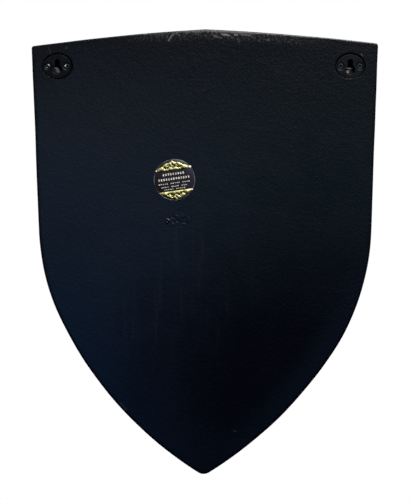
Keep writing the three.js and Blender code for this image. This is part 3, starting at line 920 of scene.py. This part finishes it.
# ------------------------------------------------------------------------------------------------
# The screws: four small zinc-plated countersunk wood screws with cross recesses. All were painted
# over with the back; a screwdriver has rubbed the crests of the left pair bright again. Each head's
# raised ring is a lighter grey, a painted highlight, and a small painted glint sits on the outer
# screw of the right pair.
# ------------------------------------------------------------------------------------------------
HEAD_RADIUS = 2.65 * MM
HEAD_ROUND = 0.2 * MM
SHANK_RADIUS = 1.2 * MM
HEAD_DEPTH = 1.7 * MM
POINT_LENGTH = 2 * MM
HEAD_DOME = 0.12 * MM
CROSS_REACH = 1.75 * MM
CROSS_WIDTH = 0.42 * MM
CROSS_DEPTH = 1.1 * MM
RUBBED_SPOTS_AND_GLINT = [  # across, up, half width, half height in millimetres, and how bare the zinc is there
    (147.3, -2.7, 1.5, 2.0, 1.0),
    (149.2, -5.2, 0.9, 0.7, 0.35),
    (131.9, -3.0, 1.7, 1.5, 1.0),
    (133.2, -4.2, 0.9, 1.6, 0.8),
    # This one, on the right pair's outer screw, is a painted glint, not bare zinc.
    (-146.9, -4.6, 1.2, 1.0, 0.22),
]
PAINTED_ZINC = (0.0015, 0.0022, 0.0035, 1)
RING_HIGHLIGHT_GREY = (0.010, 0.012, 0.015, 1)
BRIGHT_ZINC = (0.72, 0.76, 0.78, 1)
SCREW_TURNS = {
    "left_outer": 0.15,
    "left_inner": 0.62,
    "right_inner": 0.35,
    "right_outer": 1.1,
}

screw_boxes = {name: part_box(f"hanger_screw_{name}") for name in SCREW_TURNS}
screw_low, screw_high = screw_boxes["left_outer"]
screw_length = screw_high.y - screw_low.y

screw = Skin()
origin = np.zeros(2)
profile = [(HEAD_RADIUS - HEAD_ROUND * inset, -HEAD_ROUND * drop) for inset, drop in quarter_round(4)]
profile += [(SHANK_RADIUS, -HEAD_DEPTH), (SHANK_RADIUS, POINT_LENGTH - screw_length)]
head_rows = [screw.row(circle(origin, radius), y) for radius, y in profile]
screw.bands(head_rows)
screw.close(head_rows[-1], (0, -screw_length, 0))
head = honeycomb((-HEAD_RADIUS, -HEAD_RADIUS), (HEAD_RADIUS, HEAD_RADIUS), 0.16 * MM)
head = head[np.linalg.norm(head, axis=1) < HEAD_RADIUS - HEAD_ROUND - 0.1 * MM]
from_middle = np.linalg.norm(head, axis=1)
arm, width = np.abs(head).max(axis=1), np.abs(head).min(axis=1)
wing = 1 - ease(width, CROSS_WIDTH * 0.8, CROSS_WIDTH * 1.4)
depth = CROSS_DEPTH * wing * (1 - ease(arm, CROSS_REACH * 0.55, CROSS_REACH))
dome = HEAD_DOME * (1 - (from_middle / HEAD_RADIUS) ** 2)
raised_ring = ease(from_middle, 0.7 * MM, 1.2 * MM) * (1 - ease(from_middle, 1.7 * MM, 2.3 * MM))
screw.fill([head_rows[0]], head, dome - depth, raised_ring * (1 - 0.9 * wing * (arm < CROSS_REACH)))
screw_pattern = set_out("screw_pattern", screw.mesh("screw_pattern"))

zinc = Finish("rubbed_zinc_screw")
ring = zinc.stored("rub")
zinc_grain = zinc.grain(1.1 * MM, detail=2, rough=0.6, seed=1.3)
bare_and_glint_spots = [zinc.spot(x, z, width, tall) * strength for x, z, width, tall, strength in RUBBED_SPOTS_AND_GLINT]
bare_zinc_and_glint = bare_and_glint_spots[0]
for each_spot in bare_and_glint_spots[1:]:
    bare_zinc_and_glint = bare_zinc_and_glint.larger(each_spot)
shine = (bare_zinc_and_glint * (0.75 + zinc_grain * 0.5) * ring).limited()
# The raised ring is painted a lighter grey: a painted highlight.
zinc_colour = zinc.blend(ring * 0.7, PAINTED_ZINC, RING_HIGHLIGHT_GREY)
zinc_colour = zinc.blend(shine, zinc_colour, BRIGHT_ZINC)
rubbed_zinc = zinc.close(
    Base_Color=zinc_colour,
    Roughness=(0.5 - shine * 0.15).limited(),
    Metallic=shine * 0.5,
    Specular_IOR_Level=0.25,
    Normal=zinc.bump(zinc.grain(0.5 * MM, seed=5.5), 0.3, 0.08 * MM),
)

screw_heads = bpy.data.meshes.new("screw_places")
screw_places = [((low.x + high.x) / 2, high.y, (low.z + high.z) / 2) for low, high in screw_boxes.values()]
screw_heads.from_pydata(screw_places, [], [])
stored(screw_heads, "turn", list(SCREW_TURNS.values()))
screws = set_out("hanger_screws", screw_heads)

driving = Recipe("driven_screws")
pattern = driving.geometry_of("Screw", screw_pattern)
metal = driving.input("Metal", "Material", rubbed_zinc)
places = driving.node("GeometryNodeMeshToPoints", {"Mesh": driving.start.outputs["Geometry"]})
angle = driving.node("GeometryNodeInputNamedAttribute", {"Name": "turn"}, data_type="FLOAT")
turned = driving.node("ShaderNodeCombineXYZ", {"Y": angle})
driven = driving.set_on(places, pattern, metal, Rotation=turned)
screws.data = driving.made_from(screws, driven, "hanger_screws")
bpy.data.objects.remove(screw_pattern)
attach(screws, "root")
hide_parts(*[f"hanger_screw_{name}" for name in SCREW_TURNS])


# ------------------------------------------------------------------------------------------------
# The label: a round of charcoal printed film with a pale rim line, two crested bands of gold foil
# with white beads, and five rows of plain cream strokes, stuck on slightly askew. No wording.
# ------------------------------------------------------------------------------------------------
LABEL_TILT = math.radians(8)
LABEL_FACE = 0.12 * MM
LABEL_FOOT = -0.25 * MM
LABEL_ROUND = 0.05 * MM
FOIL_LIFT = 0.02 * MM
RIM_MARGIN = 0.35 * MM
RIM_LINE = 0.45 * MM
label_across = np.array([-math.cos(LABEL_TILT), math.sin(LABEL_TILT)])
label_up = np.array([math.sin(LABEL_TILT), math.cos(LABEL_TILT)])


def on_label(right, up):
    """A place on the back from one on the label, both in metres, as the label is read."""
    return label_centre + np.multiply.outer(right, label_across) + np.multiply.outer(up, label_up)


film = Finish("charcoal_film")
film_cloud = film.grain(7 * MM, detail=2, seed=4.8)
charcoal_film = film.close(
    Base_Color=film.blend(film_cloud, (0.010, 0.010, 0.016, 1), (0.020, 0.019, 0.026, 1)),
    Roughness=0.36 + (film_cloud - 0.5) * 0.1,
    Specular_IOR_Level=0.25,
    Normal=film.bump(film.grain(3 * MM, seed=8.8), 0.2, 0.05 * MM),
)

foil = Finish("gold_foil")
crinkle = foil.grain(1.7 * MM, detail=3, rough=0.65, seed=2.6)
glint = foil.grain(2.6 * MM, detail=2, rough=0.6, seed=4.9).ease(0.58, 0.70)
gold = foil.blend(crinkle.ease(0.35, 0.65), (0.22, 0.21, 0.04, 1), (0.58, 0.54, 0.20, 1))
# Near-white patches of the foil are painted glints.
gold = foil.blend(glint, gold, (0.80, 0.79, 0.70, 1))
gold_foil = foil.close(
    Base_Color=gold,
    Roughness=0.38 + crinkle * 0.15,
    Metallic=0.25,
    Normal=foil.bump(crinkle, 0.4, 0.1 * MM),
)

cream = Finish("cream_ink")
thinness = cream.grain(1.1 * MM, detail=2, seed=3.7)
cream_ink = cream.close(
    Base_Color=cream.blend(thinness.ease(0.35, 0.6), (0.42, 0.40, 0.33, 1), (0.85, 0.83, 0.74, 1)),
    Roughness=0.5 + (thinness - 0.5) * 0.1,
)

grey = Finish("grey_rim_ink")
rim_fade = grey.grain(6 * MM, detail=1, seed=1.1)
grey_ink = grey.close(
    Base_Color=grey.blend(rim_fade.ease(0.35, 0.65), (0.025, 0.026, 0.04, 1), (0.16, 0.16, 0.21, 1)),
    Roughness=0.5 + (rim_fade - 0.5) * 0.1,
)


def printed(skin, name, ink):
    """One layer of the label as an object of its own, until the label is put together."""
    layer = set_out(name, skin.mesh(name))
    layer.data.materials.append(ink)
    return layer


def laid_on(skin, loops, lift=FOIL_LIFT):
    """A layer of foil or ink: the first loop is its edge and the others are holes in it."""
    low, high = LABEL_FACE - FOIL_LIFT, LABEL_FACE + lift
    tops = [skin.row(loop, high) for loop in loops]
    feet = [skin.row(loop, low) for loop in loops]
    for top, foot in zip(tops, feet):
        skin.band(top, foot)
    skin.fill(tops, np.zeros((0, 2)), high)
    skin.fill(feet, np.zeros((0, 2)), low)


disc = Skin()
disc_profile = [
    (label_radius, LABEL_FOOT),
    (label_radius, LABEL_FACE - LABEL_ROUND),
    (label_radius - LABEL_ROUND, LABEL_FACE),
    (label_radius * 0.6, LABEL_FACE),
]
disc_rows = [disc.row(circle(label_centre, radius, 120), y) for radius, y in disc_profile]
disc.bands(disc_rows)
disc.close(disc_rows[0][::-1], (label_centre[0], LABEL_FOOT, label_centre[1]))
disc.close(disc_rows[-1], (label_centre[0], LABEL_FACE, label_centre[1]))

rim = Skin()
rim_radii = (label_radius - RIM_MARGIN, label_radius - RIM_MARGIN - RIM_LINE)
laid_on(rim, [circle(label_centre, radius, 120) for radius in rim_radii])

# Each band: a straight inner edge, a crest of round scallops that rises to the middle, and a
# symmetrical spray of leaf-shaped openings. Beads of white ink end three of its four corners.
BAND_CHORD = {1: 9.1 * MM, -1: 10.4 * MM}
BAND_RISE = {1: 7.6 * MM, -1: 7.0 * MM}
BAND_MARGIN = 0.9 * MM
CREST_MARGIN = 0.8 * MM
LEAST_RISE = 0.9 * MM
SCALLOPS = 5
SCALLOP_RISE = 0.9 * MM
LEAVES = [  # across and up from the inner edge, half length, half width, in millimetres, and lean
    (0.0, 5.6, 0.6, 1.3, 0.0),
    (0.0, 2.9, 0.85, 0.6, 0.0),
    (2.3, 3.9, 1.4, 0.65, 0.7),
    (4.6, 2.9, 1.4, 0.7, -0.6),
    (4.2, 5.1, 0.9, 0.42, -0.5),
    (7.2, 2.6, 1.1, 0.6, 0.5),
]
BEADS = [  # which end and which band, radius in millimetres
    (1, 1, 1.35),
    (-1, 1, 0.8),
    (1, -1, 0.85),
]
BEAD_RISE = 1 * MM
LEAF_TURNS = np.arange(18) * 2 * math.pi / 18
band = Skin()
beads = Skin()
for direction, chord in BAND_CHORD.items():
    reach = math.sqrt((label_radius - BAND_MARGIN) ** 2 - chord ** 2)
    right = np.linspace(-1, 1, 91)
    swell = np.cos(right * math.pi / 2) ** 1.15 * BAND_RISE[direction]
    waves = np.abs(np.cos(right * math.pi * SCALLOPS / 2))
    scallop = SCALLOP_RISE * waves * (1 - np.abs(right)) ** 0.4
    finial = SCALLOP_RISE * np.exp(-(right / 0.05) ** 2)
    ceiling = np.sqrt((label_radius - CREST_MARGIN) ** 2 - (right * reach) ** 2) - chord
    crest = np.minimum(LEAST_RISE + swell * 0.86 + scallop + finial, ceiling)
    edge_right = np.append(right, right[::-1]) * reach
    edge_up = np.append(chord + crest, np.full(91, chord))
    openings = []
    for across, up, half_length, half_width, lean in LEAVES:
        for sign in ((1,) if across == 0 else (-1, 1)):
            along, over = half_length * np.cos(LEAF_TURNS), half_width * np.sin(LEAF_TURNS)
            x = sign * (across + along * math.cos(lean) - over * math.sin(lean)) * MM
            y = (up + along * math.sin(lean) + over * math.cos(lean)) * MM
            openings.append(on_label(x, direction * (chord + y)))
    edge = on_label(edge_right, direction * edge_up)
    laid_on(band, [edge, *openings])
    for end, way, radius in BEADS:
        if way == direction:
            bead = on_label(end * reach * 0.97, way * (chord + BEAD_RISE))
            laid_on(beads, [circle(bead, radius * MM, 20)], FOIL_LIFT * 2)

ROWS = [  # height above the middle, left and right ends, height and pitch, and strokes between pauses
    (5.7, -9.6, 9.4, 1.9, 2.35, 20),
    (1.2, -14.4, 14.6, 1.9, 2.35, 20),
    (-2.95, -14.9, 15.1, 0.8, 1.9, 5),
    (-5.95, -12.6, 11.9, 0.8, 1.9, 4),
    (-8.4, -10.2, 9.8, 0.7, 1.9, 5),
]
STROKE_SHARE = 0.5
stroke_places, stroke_sizes = [], []
for up, left_end, right_end, tall, pitch, run in ROWS:
    for step in range(int((right_end - left_end) / pitch) + 1):
        if step % (run + 1) == run:
            continue
        x, z = on_label((left_end + step * pitch) * MM, up * MM)
        stroke_places.append((x, LABEL_FACE, z))
        stroke_sizes.append((pitch * STROKE_SHARE * MM, FOIL_LIFT * 2, tall * MM))

label_object = printed(disc, "printed_label", charcoal_film)
rim_object = printed(rim, "label_rim_line", grey_ink)
band_object = printed(band, "label_bands", gold_foil)
bead_object = printed(beads, "label_beads", cream_ink)
stroke_mesh = bpy.data.meshes.new("label_strokes")
stroke_mesh.from_pydata(stroke_places, [], [])
size_layer = stroke_mesh.attributes.new("stroke_size", "FLOAT_VECTOR", "POINT")
size_layer.data.foreach_set("vector", np.array(stroke_sizes, np.float32).ravel())
stroke_object = set_out("label_strokes", stroke_mesh)

printing = Recipe("label_printing")
layers = [
    printing.geometry_of("Rim line", rim_object),
    printing.geometry_of("Bands", band_object),
    printing.geometry_of("Beads", bead_object),
]
dots = printing.geometry_of("Stroke places", stroke_object)
tilt_input = printing.input("Tilt", "Float", LABEL_TILT)
ink_input = printing.input("Stroke ink", "Material", cream_ink)
dots = printing.node("GeometryNodeMeshToPoints", {"Mesh": dots})
brick = printing.node("GeometryNodeMeshCube", {"Size": (1, 1, 1)})
lean = printing.node("ShaderNodeCombineXYZ", {"Y": tilt_input})
sizes = printing.node(
    "GeometryNodeInputNamedAttribute", {"Name": "stroke_size"}, data_type="FLOAT_VECTOR",
)
strokes = printing.set_on(dots, brick, ink_input, Rotation=lean, Scale=sizes)
stuck = printing.node(
    "GeometryNodeJoinGeometry", {"Geometry": [printing.start.outputs["Geometry"], *layers, strokes]},
)
label_object.data = printing.made_from(label_object, stuck, "printed_label")
for layer in (rim_object, band_object, bead_object, stroke_object):
    bpy.data.objects.remove(layer)
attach(label_object, "root")
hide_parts("round_label")


# ------------------------------------------------------------------------------------------------
# The studio: a plain pale floor well below the hanging plaque, a white surround, a soft light high
# in front of the back and a pair for the modelled front. The camera looks straight at the back,
# level with its middle.
# ------------------------------------------------------------------------------------------------
VIEW_HEIGHT = -177.7 * MM
VIEW_ACROSS = -0.7 * MM
VIEW_SPAN = 472.3 * MM
LENS = 120.0
SENSOR = 36.0
FLOOR_DROP = 600 * MM
FLOOR_RADIUS = 3600 * MM
SURROUND_GLOW = 0.012


def aimed(thing, place, target):
    thing.location = place
    thing.rotation_mode = "QUATERNION"
    thing.rotation_quaternion = (Vector(target) - Vector(place)).to_track_quat("-Z", "Y")
    bpy.context.scene.collection.objects.link(thing)
    return thing


def soft_light(name, place, target, size, watts):
    lamp = bpy.data.lights.new(name, "AREA")
    lamp.shape = "SQUARE"
    lamp.size = size
    lamp.energy = watts
    light = aimed(bpy.data.objects.new(name, lamp), place, target)
    light.visible_camera = False
    return light


soft_light("back_key", (-0.3, 0.45, 0.8), (0.0, 0.0, -0.15), 0.5, 27.9)
soft_light("front_key", (-0.7, -1.0, 0.7), (0.0, 0.0, -0.12), 0.9, 26)
soft_light("front_fill", (1.1, -1.3, 0.0), (0.0, 0.0, -0.18), 1.2, 14)

floor_mesh = bpy.data.meshes.new("floor")
floor_skin = bmesh.new()
bmesh.ops.create_circle(floor_skin, cap_ends=True, segments=64, radius=FLOOR_RADIUS)
floor_skin.to_mesh(floor_mesh)
floor_skin.free()
floor = set_out("floor", floor_mesh)
floor.location.z = cast_low.z - FLOOR_DROP
floor.visible_glossy = False
floor.visible_diffuse = False
pale = Finish("pale_floor")
floor.data.materials.append(pale.close(
    Base_Color=(0.85, 0.85, 0.85, 1),
    Roughness=0.9,
    Emission_Color=(1, 1, 1, 1),
    Emission_Strength=0.85,
))

world = bpy.data.worlds.new("surround")
world.use_nodes = True
surround = world.node_tree
surround.nodes.clear()
seen = surround.nodes.new("ShaderNodeBackground")
dim = surround.nodes.new("ShaderNodeBackground")
dim.inputs["Strength"].default_value = SURROUND_GLOW
chosen = surround.nodes.new("ShaderNodeMixShader")
ray = surround.nodes.new("ShaderNodeLightPath")
sky = surround.nodes.new("ShaderNodeOutputWorld")
surround.links.new(ray.outputs["Is Camera Ray"], chosen.inputs["Fac"])
surround.links.new(dim.outputs[0], chosen.inputs[1])
surround.links.new(seen.outputs[0], chosen.inputs[2])
surround.links.new(chosen.outputs[0], sky.inputs["Surface"])
seen.inputs["Color"].default_value = (1, 1, 1, 1)
bpy.context.scene.world = world
bpy.context.scene.view_settings.view_transform = "Standard"

lens = bpy.data.cameras.new("camera")
lens.lens = LENS
lens.sensor_width = SENSOR
view_distance = VIEW_SPAN * LENS / SENSOR
camera = aimed(
    bpy.data.objects.new("camera", lens),
    (VIEW_ACROSS, view_distance, VIEW_HEIGHT),
    (VIEW_ACROSS, 0, VIEW_HEIGHT),
)
bpy.context.scene.camera = camera
